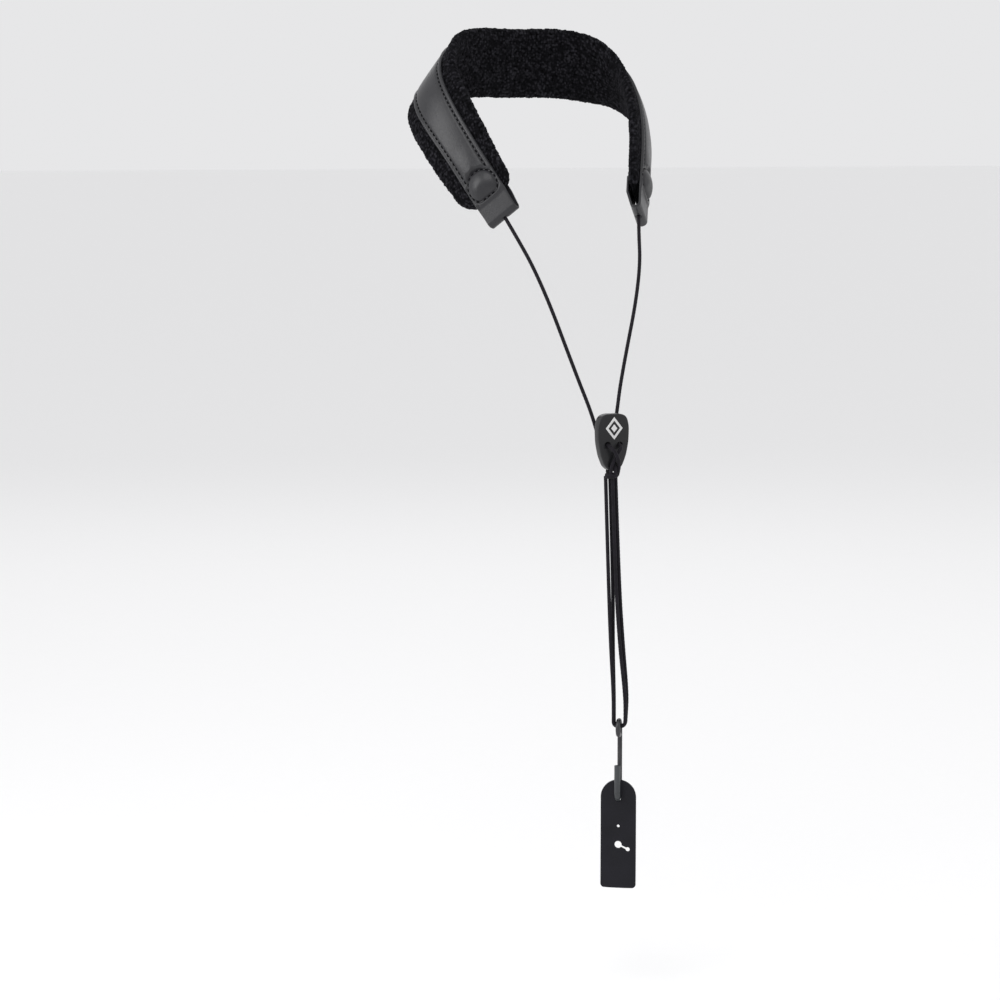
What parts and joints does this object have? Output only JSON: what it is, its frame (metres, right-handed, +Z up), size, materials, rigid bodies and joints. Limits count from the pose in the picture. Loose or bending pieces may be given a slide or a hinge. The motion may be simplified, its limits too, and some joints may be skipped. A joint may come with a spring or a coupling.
{
  "type": "saxophone neck strap",
  "caption": "Padded neck strap for a reed instrument: a curved fleece and leather band, cords through a shield-shaped slider, and an open wire hook with a leather thumb-rest tab.",
  "frame": {"origin": "the point at the nape of the neck where the middle of the pad's skin side rests", "axes": "+Z up, -Y to the wearer's chest, +X to the wearer's left"},
  "size_m": [0.1828, 0.1938, 0.5911],
  "materials": {
    "leather": "satin",
    "tab_leather": "satin",
    "fleece": "matte",
    "foam": "matte",
    "thread": "matte",
    "cord": "matte",
    "slider_plastic": "satin",
    "emblem_metal": "satin",
    "hook_metal": "gloss",
    "sleeve_plastic": "satin"
  },
  "bodies": {
    "band": {"leather_band": "leather", "fleece_cover": "fleece", "foam_core": "foam", "dome_cap_left": "leather", "dome_cap_right": "leather", "dome_stitching_left": "thread", "dome_stitching_right": "thread", "edge_stitching_upper": "thread", "edge_stitching_lower": "thread", "cord_knot_left": "cord", "cord_knot_right": "cord", "upper_cord_left": "cord", "upper_cord_right": "cord"},
    "slider": {"slider_body": "slider_plastic", "slider_emblem": "emblem_metal", "crossing_cord_under": "cord", "crossing_cord_over": "cord", "tip_hitch": "cord", "hanging_strands_front": "cord", "hanging_strands_back": "cord"},
    "cord_loop": {"eye_bend_front": "cord", "eye_bend_back": "cord"},
    "hook": {"hook_wire": "hook_metal", "hook_sleeve": "sleeve_plastic"},
    "tab": {"thumb_rest_tab": "tab_leather"}
  },
  "joints": [
    {"name": "slider_slide", "type": "slide", "parent": "band", "child": "slider", "axis": [0, 0, 1], "range_m": [-0.1, 0.07], "deforming": ["upper_cord_left", "upper_cord_right"]},
    {"name": "hook_slide", "type": "slide", "parent": "slider", "child": "cord_loop", "axis": [0, 0, 1], "range_m": [-0.035, 0.05], "deforming": ["hanging_strands_front", "hanging_strands_back"]},
    {"name": "hook_swing", "type": "hinge", "parent": "cord_loop", "child": "hook", "pos_m": [0, -0.171, -0.4538], "axis": [0.8192, -0.5736, 0], "range_deg": [-60, 60]},
    {"name": "tab_swing", "type": "hinge", "parent": "hook", "child": "tab", "pos_m": [-0.00052, -0.17174, -0.503], "axis": [-0.5736, -0.8192, 0], "range_deg": [-35, 35]}
  ],
  "couplings": [
    {"joint": "hook_slide", "follows": "slider_slide", "ratio": -0.5}
  ]
}
